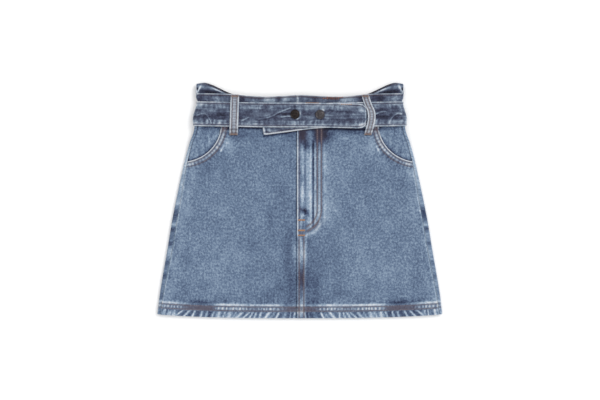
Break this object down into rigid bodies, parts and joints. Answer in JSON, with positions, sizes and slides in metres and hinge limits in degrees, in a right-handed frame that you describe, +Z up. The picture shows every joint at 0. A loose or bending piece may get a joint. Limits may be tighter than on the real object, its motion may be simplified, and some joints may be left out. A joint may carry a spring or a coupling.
{
  "type": "denim skirt",
  "caption": "Short A-line denim skirt with a fly front, scoop pockets and a matching belt closed by press studs, laid flat on its back.",
  "frame": {"origin": "on the surface that the skirt lies on, under the middle of its outline", "axes": "+Z up from the surface, through the back panels to the front; +Y from the hem to the waist; +X across, to the right as seen from the front"},
  "size_m": [0.455, 0.3756, 0.0169],
  "materials": {
    "denim": "matte",
    "dark_denim": "matte",
    "worn_denim": "matte",
    "bronze": "satin, darkened",
    "gunmetal": "satin, darkened"
  },
  "bodies": {
    "root": {"front_left": "denim", "front_right": "denim", "back_left": "denim", "back_right": "denim", "pocket_facing_left": "denim", "pocket_facing_right": "denim", "waistband_left": "dark_denim", "waistband_right": "dark_denim", "belt": "dark_denim", "loop_front_left": "worn_denim", "loop_front_right": "worn_denim", "loop_back_left": "worn_denim", "loop_back_centre": "worn_denim", "loop_back_right": "worn_denim", "stud_left": "bronze", "stud_right": "gunmetal"}
  },
  "joints": []
}
